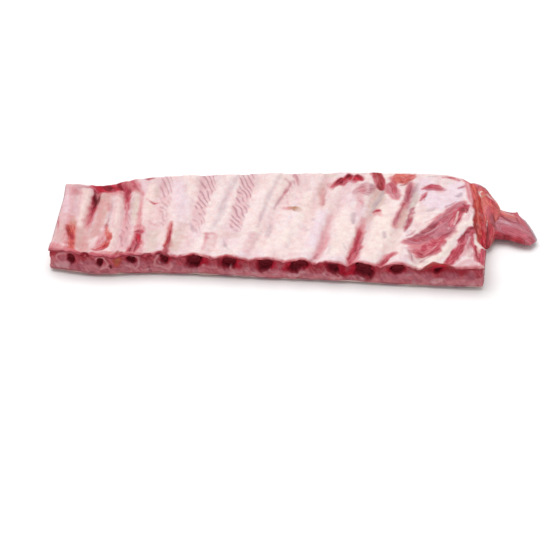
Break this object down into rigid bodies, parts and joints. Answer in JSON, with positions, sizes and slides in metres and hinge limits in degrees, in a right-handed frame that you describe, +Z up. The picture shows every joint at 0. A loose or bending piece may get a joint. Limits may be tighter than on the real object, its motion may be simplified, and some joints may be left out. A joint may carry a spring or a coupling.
{
  "type": "rack of ribs",
  "caption": "Raw rack of pork ribs, inner side up: meat on bones sawn off at both long edges, a fat cover beneath and a loose skirt tail at the right end.",
  "frame": {"origin": "on the table, under the middle of the rack's box", "axes": "+X along the rack towards the end with the loose skirt, +Y across it from the front sawn edge to the back one, +Z up out of the inner side"},
  "size_m": [0.493, 0.1746, 0.0296],
  "materials": {
    "flesh": "raw pork: wet pale pink membrane over red muscle",
    "fat": "raw pork fat, cream to pale pink, slightly greasy",
    "skirt": "raw skirt muscle, wet, red to purple",
    "bone": "sawn rib ends: dark red marrow in a pale rim"
  },
  "bodies": {
    "root": {"meat": "flesh", "fat_cover": "fat", "skirt_tail": "skirt", "rib_01": "bone", "rib_02": "bone", "rib_03": "bone", "rib_04": "bone", "rib_05": "bone", "rib_06": "bone", "rib_07": "bone", "rib_08": "bone", "rib_09": "bone", "rib_10": "bone", "rib_11": "bone", "rib_12": "bone"}
  },
  "joints": []
}
